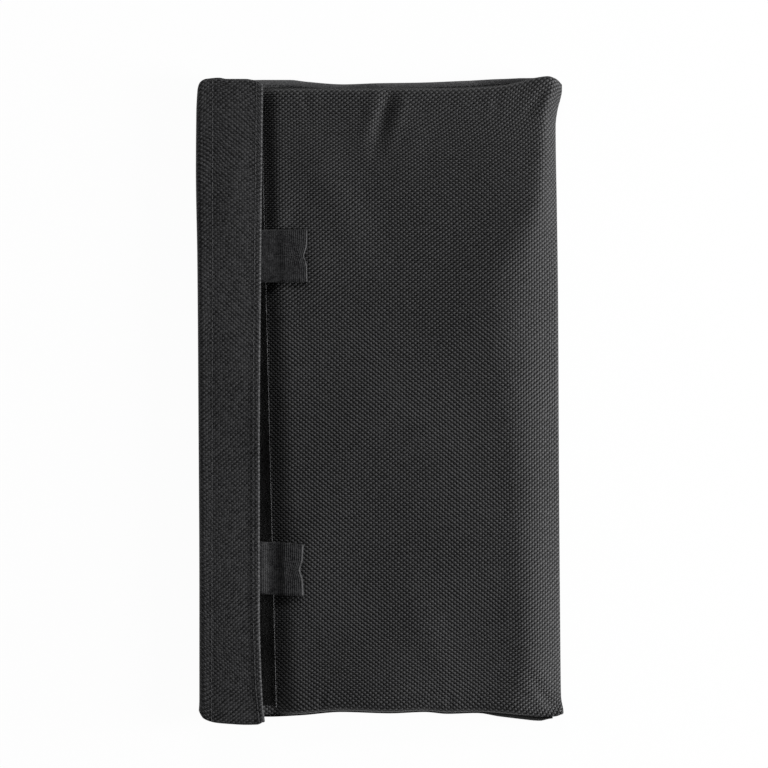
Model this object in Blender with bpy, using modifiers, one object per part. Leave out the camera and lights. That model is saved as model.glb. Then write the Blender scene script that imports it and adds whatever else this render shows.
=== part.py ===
"""Fire-resistant storage pouch: a folded cloth body with a glass-fibre liner, bound side seams,
a hook-and-loop flap that wraps the mouth, and two ribbon pull tabs.

The pouch lies on its back. +Z points out of the front face, -X is the mouth with its flap, +X is the
bottom fold, and the side seams run along X at both ends of Y. The origin is the middle of the
underside.
"""

import math

import bmesh
import bpy
from mathutils import Matrix, Vector

MM = 0.001

# Overall pouch
BAG_WIDTH = 178.0 * MM  # flap fold to bottom fold
BAG_LENGTH = 312.0 * MM  # over both bound side seams
POCKET_DEPTH = 6.0 * MM  # free height inside the liner

# Layers
CLOTH = 1.0 * MM  # coated outer weave
LINER = 0.6 * MM  # glass-fibre cloth
FACING = 1.0 * MM  # second layer of the flap
FIT = 0.3 * MM  # clearance between neighbouring layers

# Side seams
SIDE_ROLL = 12.0 * MM  # run over which the panels come down to the seam
SEAM_ALLOWANCE = 5.0 * MM  # flat flange that the binding holds
SEAM_LIFT = 0.9 * MM  # underside of the binding above the floor
BINDING = 0.5 * MM  # thickness of the binding tape

# Mouth and flap
MOUTH_SETBACK = 3.7 * MM  # flap spine to the front panel's mouth edge
LINER_SETBACK = 1.0 * MM  # mouth edge to the liner's edge
FOLD_EASE = 1.5 * MM  # flap spine to the hook tape
HOOK_HEM = 2.0 * MM  # hook tape to the flap's free edge
FLAP_OVERHANG = 1.4 * MM  # flap past each bound seam
FOLD_SETBACK = 2.0 * MM  # flap fold short of each bound seam
FOLD_TAPER = 7.0 * MM  # run over which the flap widens from its fold
FLAP_CORNER = 5.0 * MM  # radius of the free corners

# Hook-and-loop closure
HOOK_TAPE = 0.9 * MM
HOOK_WIDTH = 25.0 * MM
HOOK_END = 6.0 * MM  # flap end to the tape's end
LOOP_TAPE = 1.2 * MM
LOOP_WIDTH = 25.0 * MM
LOOP_INSET = 5.0 * MM  # mouth edge to the tape
LOOP_END = 1.5 * MM  # seam flange to the tape's end

# Pull tabs of folded ribbon
RIBBON = 0.5 * MM
TAB_WIDTH = 25.4 * MM
TAB_SEWN = 6.0 * MM  # length held inside the flap's hem
TAB_FOLD_GAP = 0.4 * MM  # air between the two plies
UPPER_TAB_INSET = 87.4 * MM  # flap's upper end to the tab's middle
UPPER_TAB_REACH = 22.5 * MM  # flap's free edge to the tab's tip
LOWER_TAB_INSET = 75.4 * MM
LOWER_TAB_REACH = 20.5 * MM

# Smoothness of the round stretches
ROLL_STEPS = 7
FOLD_STEPS = 9
CORNER_STEPS = 5
RIBBON_STEPS = 6

# Heights of the stack, from the floor up
BACK_MID = CLOTH / 2
FRONT_MID = CLOTH + 2 * (FIT + LINER) + POCKET_DEPTH + CLOTH / 2
FRONT_TOP = FRONT_MID + CLOTH / 2
LOOP_TOP = FRONT_TOP + FIT + LOOP_TAPE
HOOK_LOW = LOOP_TOP + FIT
HOOK_TOP = HOOK_LOW + HOOK_TAPE
HEM_TOP = HOOK_TOP + FIT + max(FACING, 2 * RIBBON)
FLAP_LOW = HEM_TOP + FIT
FLAP_TOP = FLAP_LOW + CLOTH
LINER_INSET = (CLOTH + LINER) / 2 + FIT
LOOP_OUTSET = (CLOTH + LOOP_TAPE) / 2 + FIT

# Side seam flange, two plies of cloth inside the binding
FLANGE_HALF = (CLOTH + FIT) / 2
BINDING_INNER = FLANGE_HALF + CLOTH / 2 + FIT
SEAM_MID = SEAM_LIFT + BINDING + BINDING_INNER
SEAM_EDGE = BAG_LENGTH / 2 - BINDING - FIT
SEAM_ROOT = SEAM_EDGE - SEAM_ALLOWANCE

# Places across the bag
LEFT = -BAG_WIDTH / 2
SPINE_INNER = LEFT + CLOTH
BACK_END = SPINE_INNER + FIT
MOUTH = BACK_END + MOUTH_SETBACK
LOOP_LEFT = MOUTH + LOOP_INSET
LOOP_RIGHT = LOOP_LEFT + LOOP_WIDTH
HOOK_LEFT = SPINE_INNER + FOLD_EASE
HOOK_RIGHT = HOOK_LEFT + HOOK_WIDTH
FLAP_EDGE = HOOK_RIGHT + HOOK_HEM
FOLD_DRAW = math.pi / 2 - 1  # the cloth's draw-in for each unit of fold radius
FOLD_CORNER = BAG_WIDTH / 2 - CLOTH / 2 + FOLD_DRAW * FLANGE_HALF
BINDING_RIGHT = FOLD_CORNER - math.pi / 2 * FLANGE_HALF
FLAP_HALF = BAG_LENGTH / 2 + FLAP_OVERHANG
FOLD_HALF = BAG_LENGTH / 2 - FOLD_SETBACK
TAB_HALF = RIBBON + TAB_FOLD_GAP / 2
TAB_AXIS = Vector((FLAP_EDGE + FIT + TAB_HALF, 0, HEM_TOP - RIBBON))
TABS = (
    ("upper", FLAP_HALF - UPPER_TAB_INSET, UPPER_TAB_REACH),
    ("lower", LOWER_TAB_INSET - FLAP_HALF, LOWER_TAB_REACH),
)


def start_clean():
    """Empty the scene and give the pouch its own collection."""
    for old in list(bpy.data.objects):
        bpy.data.objects.remove(old)
    parts = bpy.data.collections.new("lipo_safe_bag")
    bpy.context.scene.collection.children.link(parts)
    return parts


def linear(hex_colour):
    """Turn an sRGB hex colour into linear red, green, blue and alpha."""
    channels = [int(hex_colour[i : i + 2], 16) / 255 for i in (1, 3, 5)]
    return [c / 12.92 if c <= 0.04045 else ((c + 0.055) / 1.055) ** 2.4 for c in channels] + [1.0]


def finish(name, hex_colour, roughness):
    """Make a cloth material."""
    made = bpy.data.materials.new(name)
    made.use_nodes = True
    shader = made.node_tree.nodes["Principled BSDF"]
    shader.inputs["Base Color"].default_value = linear(hex_colour)
    shader.inputs["Roughness"].default_value = roughness
    shader.inputs["Metallic"].default_value = 0.0
    return made


def add(parts, name, data, material, carrier=None):
    """Place an object in the pouch's collection, on its carrier if it moves."""
    made = bpy.data.objects.new(name, data)
    data.materials.append(material)
    parts.objects.link(made)
    if carrier:
        made.parent = carrier
        made.matrix_parent_inverse = Matrix.Translation(-carrier.location)
    return made


def joint_empty(parts, name, place, carrier=None):
    """Make an empty on a joint's axis, for the pieces that turn there."""
    empty = bpy.data.objects.new(name, None)
    empty.location = place
    parts.objects.link(empty)
    if carrier:
        empty.parent = carrier
        empty.matrix_parent_inverse = Matrix.Translation(-carrier.location)
    return empty


def outline_curve(name, loops, thickness):
    """Make a flat outline, with any holes, that is as thick as asked about its own plane."""
    curve = bpy.data.curves.new(name, "CURVE")
    curve.dimensions = "2D"
    curve.fill_mode = "BOTH"
    curve.extrude = thickness / 2
    for points in loops:
        spline = curve.splines.new("POLY")
        spline.points.add(len(points) - 1)
        for point, (x, y) in zip(spline.points, points):
            point.co = (x, y, 0, 1)
        spline.use_cyclic_u = True
    return curve


def slab(parts, name, outline, low, high, material, carrier=None):
    """Make a level piece of one outline between two heights."""
    made = add(parts, name, outline_curve(name, [outline], high - low), material, carrier)
    made.location.z = (low + high) / 2
    return made


def rectangle(left, right, low, high):
    """List the corners of an upright rectangle."""
    return [(left, low), (right, low), (right, high), (left, high)]


def arc(centre_x, centre_y, radius, start, end, steps):
    """List points round part of a circle, with angles in degrees."""
    angles = [math.radians(start + (end - start) * i / steps) for i in range(steps + 1)]
    return [(centre_x + radius * math.cos(a), centre_y + radius * math.sin(a)) for a in angles]


def roll_share(y):
    """Say how far a panel has risen from the seam flange, and how fast, at a place along the bag."""
    run = min(max((SEAM_ROOT - abs(y)) / SIDE_ROLL, 0.0), 1.0)
    return run * run * (3 - 2 * run), 6 * run * (1 - run) / SIDE_ROLL


def panel_heights(y, inset=0.0):
    """Give the back and front panels' middle heights, or those of a layer inset along the normal."""
    share, rate = roll_share(y)
    back_drop = SEAM_MID - FLANGE_HALF - BACK_MID
    front_rise = FRONT_MID - SEAM_MID - FLANGE_HALF
    back = BACK_MID + back_drop * (1 - share) + inset * math.hypot(1, back_drop * rate)
    front = FRONT_MID - front_rise * (1 - share) - inset * math.hypot(1, front_rise * rate)
    return back, front


def roll_stations(edge, start, steps):
    """List places along the bag, close together where the panels roll down to the seams."""
    flat = SEAM_ROOT - SIDE_ROLL
    half = [flat + (start - flat) * i / steps for i in range(steps + 1)]
    if edge > start:
        half.append(edge)
    return [-y for y in reversed(half)] + half


def loft(name, sections):
    """Skin a row of equal-length sections into an open sheet."""
    sheet = bmesh.new()
    rows = [[sheet.verts.new(point) for point in section] for section in sections]
    for near, far in zip(rows, rows[1:]):
        for i in range(len(near) - 1):
            sheet.faces.new((near[i], near[i + 1], far[i + 1], far[i]))
    mesh = bpy.data.meshes.new(name)
    sheet.to_mesh(mesh)
    sheet.free()
    mesh.shade_smooth()
    return mesh


def thicken(made, thickness):
    """Give an open sheet its thickness, half to each side."""
    wall = made.modifiers.new("cloth thickness", "SOLIDIFY")
    wall.thickness = thickness
    wall.offset = 0.0
    wall.use_even_offset = True


def folded_section(y, front_left, back_left, inset):
    """Trace one U-shaped section of a folded sheet, from its front edge round the fold to its back edge."""
    back, front = panel_heights(y)
    centre = FOLD_CORNER - math.pi / 2 * (front - back) / 2
    back, front = panel_heights(y, inset)
    fold = arc(centre, (front + back) / 2, (front - back) / 2, 90, -90, FOLD_STEPS)
    points = [(front_left, front)] + fold + [(back_left, back)]
    return [(x, y, z) for x, z in points]


def liner_edge():
    """Find where the liner's two panels come together inside the rolled side of the pouch."""
    steepest = 1.5 * (FRONT_MID - SEAM_MID - FLANGE_HALF) / SIDE_ROLL
    least = LINER_INSET * math.hypot(1, steepest) + (LINER + FIT) / 2
    open_half = (FRONT_MID - BACK_MID) / 2
    share = min((least - FLANGE_HALF) / (open_half - FLANGE_HALF), 1.0)
    return SEAM_ROOT - SIDE_ROLL * (0.5 - math.sin(math.asin(1 - 2 * share) / 3))


def build_pouch(parts, weave, glass):
    """Build the folded outer cloth and the liner nested inside it."""
    stations = roll_stations(SEAM_EDGE, SEAM_ROOT, ROLL_STEPS)
    sections = [folded_section(y, MOUTH, BACK_END, 0.0) for y in stations]
    cloth = add(parts, "pouch_cloth", loft("pouch_cloth", sections), weave)
    thicken(cloth, CLOTH)

    edge = liner_edge()
    mouth = MOUTH + LINER_SETBACK
    sections = [folded_section(y, mouth, mouth, LINER_INSET) for y in roll_stations(edge, edge, ROLL_STEPS)]
    liner = add(parts, "pouch_liner", loft("pouch_liner", sections), glass)
    thicken(liner, LINER)


def build_bindings(parts, tape):
    """Fold a binding tape over the flange of each side seam."""
    inner, outer = BINDING_INNER, BINDING_INNER + BINDING
    channel = [
        (SEAM_ROOT, inner),
        (SEAM_EDGE + FIT, inner),
        (SEAM_EDGE + FIT, -inner),
        (SEAM_ROOT, -inner),
        (SEAM_ROOT, -outer),
        (BAG_LENGTH / 2, -outer),
        (BAG_LENGTH / 2, outer),
        (SEAM_ROOT, outer),
    ]
    for name, side in (("side_binding_upper", 1), ("side_binding_lower", -1)):
        profile = [(side * y, z) for y, z in channel]
        made = add(parts, name, outline_curve(name, [profile], BINDING_RIGHT - MOUTH), tape)
        made.location = ((MOUTH + BINDING_RIGHT) / 2, 0, SEAM_MID)
        made.rotation_euler = (math.radians(90), 0, math.radians(90))


def build_loop_tape(parts, pile):
    """Lay the loop tape on the front panel, over its rolled ends."""
    end = SEAM_ROOT - LOOP_END
    sections = []
    for y in roll_stations(end, end, ROLL_STEPS):
        height = panel_heights(y, -LOOP_OUTSET)[1]
        sections.append([(LOOP_LEFT, y, height), (LOOP_RIGHT, y, height)])
    tape = add(parts, "loop_tape", loft("loop_tape", sections), pile)
    thicken(tape, LOOP_TAPE)


def flap_half_length(x):
    """Give half the flap's length at a place across it."""
    return FOLD_HALF + (FLAP_HALF - FOLD_HALF) * min((x - LEFT) / FOLD_TAPER, 1.0)


def flap_outline(left, notches=()):
    """Trace the flap from above, with its free edge notched where tabs are sewn in."""
    inner_x, inner_y = FLAP_EDGE - FLAP_CORNER, FLAP_HALF - FLAP_CORNER
    widest = LEFT + FOLD_TAPER
    points = [(left, -flap_half_length(left)), (widest, -FLAP_HALF)]
    points += arc(inner_x, -inner_y, FLAP_CORNER, -90, 0, CORNER_STEPS)
    notch_left = FLAP_EDGE - TAB_SEWN - FIT
    for middle in sorted(notches):
        low, high = middle - TAB_WIDTH / 2 - FIT, middle + TAB_WIDTH / 2 + FIT
        points += [(FLAP_EDGE, low), (notch_left, low), (notch_left, high), (FLAP_EDGE, high)]
    points += arc(inner_x, inner_y, FLAP_CORNER, 0, 90, CORNER_STEPS)
    return points + [(widest, FLAP_HALF), (left, flap_half_length(left))]


def build_flap(parts, weave, facing, hooks, ribbon):
    """Build the flap's spine and its panel, each on the empty of its crease, and return the panel's empty."""
    lower_crease = joint_empty(parts, "lower_crease", (LEFT, 0, 0))
    upper_crease = joint_empty(parts, "upper_crease", (LEFT, 0, FLAP_TOP), lower_crease)

    spine = rectangle(LEFT, SPINE_INNER, -FOLD_HALF, FOLD_HALF)
    slab(parts, "flap_spine", spine, 0, FLAP_LOW - FIT, weave, lower_crease)
    slab(parts, "flap_cloth", flap_outline(LEFT), FLAP_LOW, FLAP_TOP, weave, upper_crease)

    notched = flap_outline(BACK_END, [middle for _, middle, _ in TABS])
    slab(parts, "flap_facing", notched, HEM_TOP - FACING, HEM_TOP, facing, upper_crease)

    hook_half = FLAP_HALF - HOOK_END
    tape = rectangle(HOOK_LEFT, HOOK_RIGHT, -hook_half, hook_half)
    slab(parts, "hook_tape", tape, HOOK_LOW, HOOK_TOP, hooks, upper_crease)

    for side, middle, _ in TABS:
        root = rectangle(FLAP_EDGE - TAB_SEWN, FLAP_EDGE, middle - TAB_WIDTH / 2, middle + TAB_WIDTH / 2)
        slab(parts, f"{side}_tab_root", root, HEM_TOP - 2 * RIBBON, HEM_TOP, ribbon, upper_crease)
    return upper_crease


def tab_droop(length):
    """Find the angle at which a tab's tip lies on the front panel and its middle clears the loop tape."""
    tip_drop = TAB_AXIS.z - FRONT_TOP - TAB_HALF - FIT
    tape_drop = TAB_AXIS.z - LOOP_TOP - TAB_HALF - FIT
    tape_reach = max(LOOP_RIGHT - TAB_AXIS.x, FIT)
    return min(math.asin(tip_drop / length), math.atan(tape_drop / tape_reach))


def build_tabs(parts, ribbon, flap):
    """Fold each pull tab from ribbon, with its origin on the axis where it bends at the flap's edge."""
    for side, middle, reach in TABS:
        length = FLAP_EDGE + reach - TAB_AXIS.x
        fold = length - TAB_HALF
        ply = arc(fold, 0, TAB_HALF, -90, 90, RIBBON_STEPS) + arc(0, 0, TAB_HALF, 90, 270, RIBBON_STEPS)
        gap = TAB_FOLD_GAP / 2
        air = arc(fold, 0, gap, -90, 90, RIBBON_STEPS) + arc(TAB_HALF, 0, gap, 90, 270, RIBBON_STEPS)
        name = f"{side}_pull_tab"
        tab = add(parts, name, outline_curve(name, [ply, air], TAB_WIDTH), ribbon, flap)
        tab.location = (TAB_AXIS.x, middle, TAB_AXIS.z)
        tab.rotation_euler = (math.radians(90), tab_droop(length), 0)


def main():
    """Build the whole pouch."""
    parts = start_clean()
    weave = finish("coated woven cloth", "#2b2b2c", 0.75)
    glass = finish("glass-fibre cloth", "#3a3a3b", 0.7)
    facing = finish("plain lining cloth", "#242425", 0.8)
    tape = finish("binding tape", "#333334", 0.7)
    hooks = finish("hook tape", "#1c1c1d", 0.55)
    pile = finish("loop pile tape", "#151516", 0.95)
    ribbon = finish("ribbed ribbon", "#2a2a2b", 0.7)

    build_pouch(parts, weave, glass)
    build_bindings(parts, tape)
    build_loop_tape(parts, pile)
    flap = build_flap(parts, weave, facing, hooks, ribbon)
    build_tabs(parts, ribbon, flap)


main()
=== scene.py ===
"""Looks of the fire-resistant battery pouch: cloth, tapes, ribbons, thread, light and camera.

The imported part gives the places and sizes, and each class here dresses one sub-assembly of it. Lengths inside
the classes are in millimetres, on the part's own axes: X across the pouch from the flap to the fold, Y along
the mouth, Z up from the floor. Meshes are written in metres.
"""

import logging
import math
from dataclasses import dataclass, field, replace
from enum import Enum
from typing import Sequence

import bpy
import numpy as np
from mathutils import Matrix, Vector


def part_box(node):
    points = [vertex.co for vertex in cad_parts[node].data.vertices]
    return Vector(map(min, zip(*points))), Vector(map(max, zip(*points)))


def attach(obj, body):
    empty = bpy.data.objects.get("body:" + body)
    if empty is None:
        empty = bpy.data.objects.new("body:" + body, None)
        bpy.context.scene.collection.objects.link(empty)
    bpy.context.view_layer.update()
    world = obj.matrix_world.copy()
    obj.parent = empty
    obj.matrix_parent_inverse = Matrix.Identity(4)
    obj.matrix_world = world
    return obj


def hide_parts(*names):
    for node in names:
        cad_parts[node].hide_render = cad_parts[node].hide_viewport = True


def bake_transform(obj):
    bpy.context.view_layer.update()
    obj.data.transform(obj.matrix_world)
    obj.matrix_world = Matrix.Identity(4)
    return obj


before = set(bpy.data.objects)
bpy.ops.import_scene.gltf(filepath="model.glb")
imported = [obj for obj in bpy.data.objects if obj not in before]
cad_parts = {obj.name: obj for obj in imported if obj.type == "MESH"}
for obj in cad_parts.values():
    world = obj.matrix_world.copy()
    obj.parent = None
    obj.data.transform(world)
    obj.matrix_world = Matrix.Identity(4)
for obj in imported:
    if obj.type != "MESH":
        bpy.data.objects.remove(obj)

MM = 0.001
TINY = 1e-9
# keeps two level slopes from being divided by nothing
LEVEL = 1e-12
# how far a cut edge bulges past the middle surface, as a share of the cloth's thickness
EDGE_BULGE = 0.35
# a noise keeps within about an eighth of its middle each way, so four times its swing is about one
NOISE_SPAN = 4.0
# tones that a noise hardly passes
NOISE_ENDS = (0.3, 0.7)
STITCH_SEED = 4
LOG = logging.getLogger("battery_pouch")

Knots = Sequence[tuple[float, float]]
Span = tuple[float, float]
Place = tuple[float, float, float]
Tree = bpy.types.NodeTree
Node = bpy.types.Node
Socket = bpy.types.NodeSocket
Material = bpy.types.Material
Piece = bpy.types.Object


class Body(str, Enum):
    """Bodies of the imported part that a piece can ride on."""

    BAG = "bag"
    SPINE = "flap_spine"
    FLAP = "flap"
    UPPER_TAB = "upper_tab"
    LOWER_TAB = "lower_tab"


class Facing(Enum):
    """Which way a row of stitches or a field of tufts stands."""

    UP = (0.0, 0.0, 1.0)
    DOWN = (0.0, 0.0, -1.0)


def smooth_step(low: float, high: float, at: np.ndarray) -> np.ndarray:
    """Ease from 0 at low to 1 at high."""
    share = np.clip((np.asarray(at, float) - low) / (high - low), 0.0, 1.0)
    return share * share * (3.0 - 2.0 * share)


def bell(at: np.ndarray) -> np.ndarray:
    """A soft bump, 1 at 0 and nearly none past 3 on either side."""
    return np.exp(-0.5 * at**2)


def smooth_line(knots: Knots, at: np.ndarray) -> np.ndarray:
    """Run a smooth line through a few measured points.

    Args:
        knots: Pairs of place and value, in rising order of place.
        at: Places to read the line at.

    Returns:
        The line's values there, level past both ends.
    """
    place, value = np.array(knots, float).T
    secant = np.diff(value) / np.diff(place)
    before, after = secant[:-1], secant[1:]
    # a level slope at each turning point keeps the line from swinging past its points
    inner = np.where(before * after > 0.0, 2.0 * before * after / (before + after + LEVEL), 0.0)
    slope = np.concatenate([secant[:1], inner, secant[-1:]])
    at = np.clip(at, place[0], place[-1])
    left = np.clip(np.searchsorted(place, at) - 1, 0, len(place) - 2)
    span = place[left + 1] - place[left]
    share = (at - place[left]) / span
    rest = 1.0 - share
    return (
        (1.0 + 2.0 * share) * rest**2 * value[left]
        + share * rest**2 * span * slope[left]
        + share**2 * (3.0 - 2.0 * share) * value[left + 1]
        - share**2 * rest * span * slope[left + 1]
    )


def run_length(points: np.ndarray) -> np.ndarray:
    """Length walked along a line of points, from 0 at the first."""
    return np.concatenate(([0.0], np.cumsum(np.linalg.norm(np.diff(points, axis=0), axis=1))))


def along_path(corners: Sequence[Sequence[float]], count: int) -> np.ndarray:
    """Spread points evenly along a smooth path through its corners.

    Args:
        corners: Points of the path, in two or three coordinates.
        count: How many points to give back.

    Returns:
        The points, one a row.
    """
    points = np.array(corners, float)
    run = run_length(points)
    at = np.linspace(0.0, run[-1], count)
    return np.stack([smooth_line(np.stack([run, axis], axis=1), at) for axis in points.T], axis=1)


def grid_of(x: np.ndarray, y: np.ndarray, z: np.ndarray | float) -> np.ndarray:
    """Grid of points from coordinates that may each run along rows, along columns or both."""
    return np.stack(np.broadcast_arrays(x, y, z), axis=2)


def packed_box(node: str) -> tuple[np.ndarray, np.ndarray]:
    """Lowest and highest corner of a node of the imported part, in millimetres."""
    low, high = (np.array(corner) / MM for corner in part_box(node))
    return low, high


def hex_linear(code: str) -> tuple[float, float, float, float]:
    """Turn an sRGB hex colour such as "#2c2c2d" into linear red, green, blue and an alpha of 1."""
    channels = [int(code[i : i + 2], 16) / 255.0 for i in (1, 3, 5)]
    red, green, blue = (c / 12.92 if c <= 0.04045 else ((c + 0.055) / 1.055) ** 2.4 for c in channels)
    return red, green, blue, 1.0


def add_node(tree: Tree, kind: str, feeds: dict | None = None, **settings: object) -> Node:
    """Add a node to a tree, with its settings and what feeds its sockets.

    Args:
        tree: Shader or geometry tree.
        kind: Blender's name of the node's type.
        feeds: For each input, by name or number, a value, a socket, or a node for its first output.
        settings: Properties of the node.

    Returns:
        The new node.
    """
    node = tree.nodes.new(kind)
    for name, value in settings.items():
        setattr(node, name, value)
    for key, value in (feeds or {}).items():
        source = value.outputs[0] if isinstance(value, Node) else value
        if isinstance(source, Socket):
            tree.links.new(source, node.inputs[key])
        else:
            node.inputs[key].default_value = source
    return node


def work_out(tree: Tree, operation: str, *inputs: object, clamp: bool = False) -> Node:
    """Add a node that works out one operation on numbers, with its inputs in order."""
    return add_node(tree, "ShaderNodeMath", dict(enumerate(inputs)), operation=operation, use_clamp=clamp)


def work_out_place(tree: Tree, operation: str, *inputs: object) -> Node:
    """Add a node that works out one operation on places, with its inputs in order."""
    return add_node(tree, "ShaderNodeVectorMath", dict(enumerate(inputs)), operation=operation)


def mesh_piece(name: str, points: np.ndarray, faces: list, edges: list | None = None) -> Piece:
    """Make a smooth-shaded mesh object at the origin.

    Args:
        name: Name of the piece.
        points: Corners, in millimetres.
        faces: Lists of corner numbers.
        edges: Loose edges, where the mesh has no faces.

    Returns:
        The object, linked to the scene.
    """
    mesh = bpy.data.meshes.new(name)
    mesh.from_pydata((np.asarray(points) * MM).tolist(), edges or [], faces)
    mesh.polygons.foreach_set("use_smooth", [True] * len(mesh.polygons))
    mesh.update()
    piece = bpy.data.objects.new(name, mesh)
    bpy.context.scene.collection.objects.link(piece)
    return piece


def sheet_normals(surface: np.ndarray) -> np.ndarray:
    """Unit normals of a grid of points, on the side where columns turn to rows anticlockwise."""
    normal = np.cross(np.gradient(surface, axis=1), np.gradient(surface, axis=0))
    return normal / np.maximum(np.linalg.norm(normal, axis=2, keepdims=True), TINY)


def rim_order(grid: np.ndarray) -> np.ndarray:
    """Walk once round the edge of a grid, anticlockwise, each corner once."""
    return np.concatenate([grid[0, :-1], grid[:-1, -1], grid[-1, :0:-1], grid[:0:-1, 0]])


def cut_lengths(surface: np.ndarray) -> np.ndarray:
    """Where each point of a sheet lay on the flat cloth, walked along its middle row and middle column."""
    across = run_length(surface[surface.shape[0] // 2])
    along = run_length(surface[:, surface.shape[1] // 2])
    return np.stack(np.meshgrid(across, along), axis=2)


def cloth_piece(name: str, surface: np.ndarray, thickness: float, cut: np.ndarray) -> Piece:
    """Make a closed sheet of cloth with round cut edges from its middle surface.

    Args:
        name: Name of the piece.
        surface: Grid of points of the middle surface, in millimetres.
        thickness: Thickness of the cloth.
        cut: Flat places of the points.

    Returns:
        The piece, with a UV map named "cut" in metres of flat cloth.
    """
    rows, columns = surface.shape[:2]
    count = rows * columns
    offset = sheet_normals(surface) * thickness / 2.0
    outward = np.zeros_like(surface)
    outward[0] += surface[0] - surface[1]
    outward[-1] += surface[-1] - surface[-2]
    outward[:, 0] += surface[:, 0] - surface[:, 1]
    outward[:, -1] += surface[:, -1] - surface[:, -2]
    outward /= np.maximum(np.linalg.norm(outward, axis=2, keepdims=True), TINY)
    grid = np.arange(count).reshape(rows, columns)
    rim = rim_order(grid)
    edge = surface.reshape(-1, 3)[rim] + EDGE_BULGE * thickness * outward.reshape(-1, 3)[rim]
    points = np.concatenate([(surface + offset).reshape(-1, 3), (surface - offset).reshape(-1, 3), edge])
    quads = np.stack([grid[:-1, :-1], grid[:-1, 1:], grid[1:, 1:], grid[1:, :-1]], axis=2).reshape(-1, 4)
    ring = 2 * count + np.arange(len(rim))
    after, ring_after = np.roll(rim, -1), np.roll(ring, -1)
    outer_rim = np.stack([after, rim, ring, ring_after], axis=1)
    inner_rim = np.stack([ring_after, ring, rim + count, after + count], axis=1)
    faces = np.concatenate([quads, quads[:, ::-1] + count, outer_rim, inner_rim])
    piece = mesh_piece(name, points, faces.tolist())
    flat = cut.reshape(-1, 2)
    places = np.concatenate([flat, flat, flat[rim]]) * MM
    corners = np.empty(len(piece.data.loops), np.int32)
    piece.data.loops.foreach_get("vertex_index", corners)
    piece.data.uv_layers.new(name="cut").data.foreach_set("uv", places[corners].astype(np.float32).ravel())
    return piece


@dataclass(frozen=True)
class Sheet:
    """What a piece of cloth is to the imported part: the nodes it stands for, how it is held and on what."""

    name: str
    nodes: tuple[str, ...]
    slot: str
    held: str
    rests_on: str

    def make(
        self,
        surface: np.ndarray,
        thickness: float,
        material: Material,
        cut: np.ndarray | None = None,
    ) -> Piece:
        """Args:
            surface: Grid of points of the middle surface.
            thickness: Thickness of the cloth.
            material: Material of the whole sheet.
            cut: Flat places of the points, worked out from the surface where left out.

        Returns:
            The piece, which still has to ride on a body.
        """
        walked = cut_lengths(surface)
        piece = cloth_piece(self.name, surface, thickness, walked if cut is None else cut)
        piece.data.materials.append(material)
        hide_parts(*self.nodes)
        LOG.info("%s: %d faces", self.name, len(piece.data.polygons))
        return piece


@dataclass(frozen=True)
class Wave:
    """One ripple of a weave: its turns over two threads each way, and what it adds to tone and height."""

    turns_warp: float
    turns_weft: float
    light: float
    height: float
    lean: float = 0.0


# floats over and under by turns: two diagonals that take the lead by turns over the cloth, and rows of weft
PLAIN_WEAVE = (
    Wave(1.0, 1.0, -0.27, 0.0, 1.0),
    Wave(1.0, -1.0, 0.27, 0.0, -1.0),
    Wave(0.0, 2.0, -0.1, -0.3),
    Wave(2.0, 0.0, -0.07, -0.2),
)
# ribs across a ribbon, each a bundle of weft, their tone partly painted light and shade on the ribs
RIBS = (Wave(2.0, 0.0, 0.3, 0.0), Wave(0.0, 2.0, 0.06, 0.25))


@dataclass(frozen=True)
class Textile:
    """What every textile finish has: its name, how high its threads stand, how rough and how glossy it is."""

    name: str
    relief: float = field(default=0.05, kw_only=True)
    roughness: float = field(default=0.7, kw_only=True)
    gloss: float = field(default=0.12, kw_only=True)

    def start(self) -> tuple[Material, Tree]:
        """Start the material, and give it with its node tree."""
        made = bpy.data.materials.new(self.name)
        made.use_nodes = True
        return made, made.node_tree

    def finish(self, tree: Tree, tone: Node, height: Node, stops: Sequence[tuple[float, str]]) -> None:
        """Colour the textile by its tone, raise its threads and set its shine.

        Args:
            tree: Shader tree of the material.
            tone: Tone of the threads, from 0 to 1.
            height: Height of the threads, from 0 to 1.
            stops: Places on the tone's scale and their colours, from the darkest.
        """
        shader = tree.nodes["Principled BSDF"]
        ramp = add_node(tree, "ShaderNodeValToRGB", {0: tone})
        scale = ramp.color_ramp.elements
        for element, (place, code) in zip((scale[0], scale[1]), (stops[0], stops[-1])):
            element.position = place
            element.color = hex_linear(code)
        for place, code in stops[1:-1]:
            scale.new(place).color = hex_linear(code)
        bump = add_node(tree, "ShaderNodeBump", {"Height": height, "Distance": self.relief * MM})
        tree.links.new(ramp.outputs[0], shader.inputs["Base Color"])
        tree.links.new(bump.outputs[0], shader.inputs["Normal"])
        shader.inputs["Roughness"].default_value = self.roughness
        shader.inputs["Specular IOR Level"].default_value = self.gloss


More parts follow.
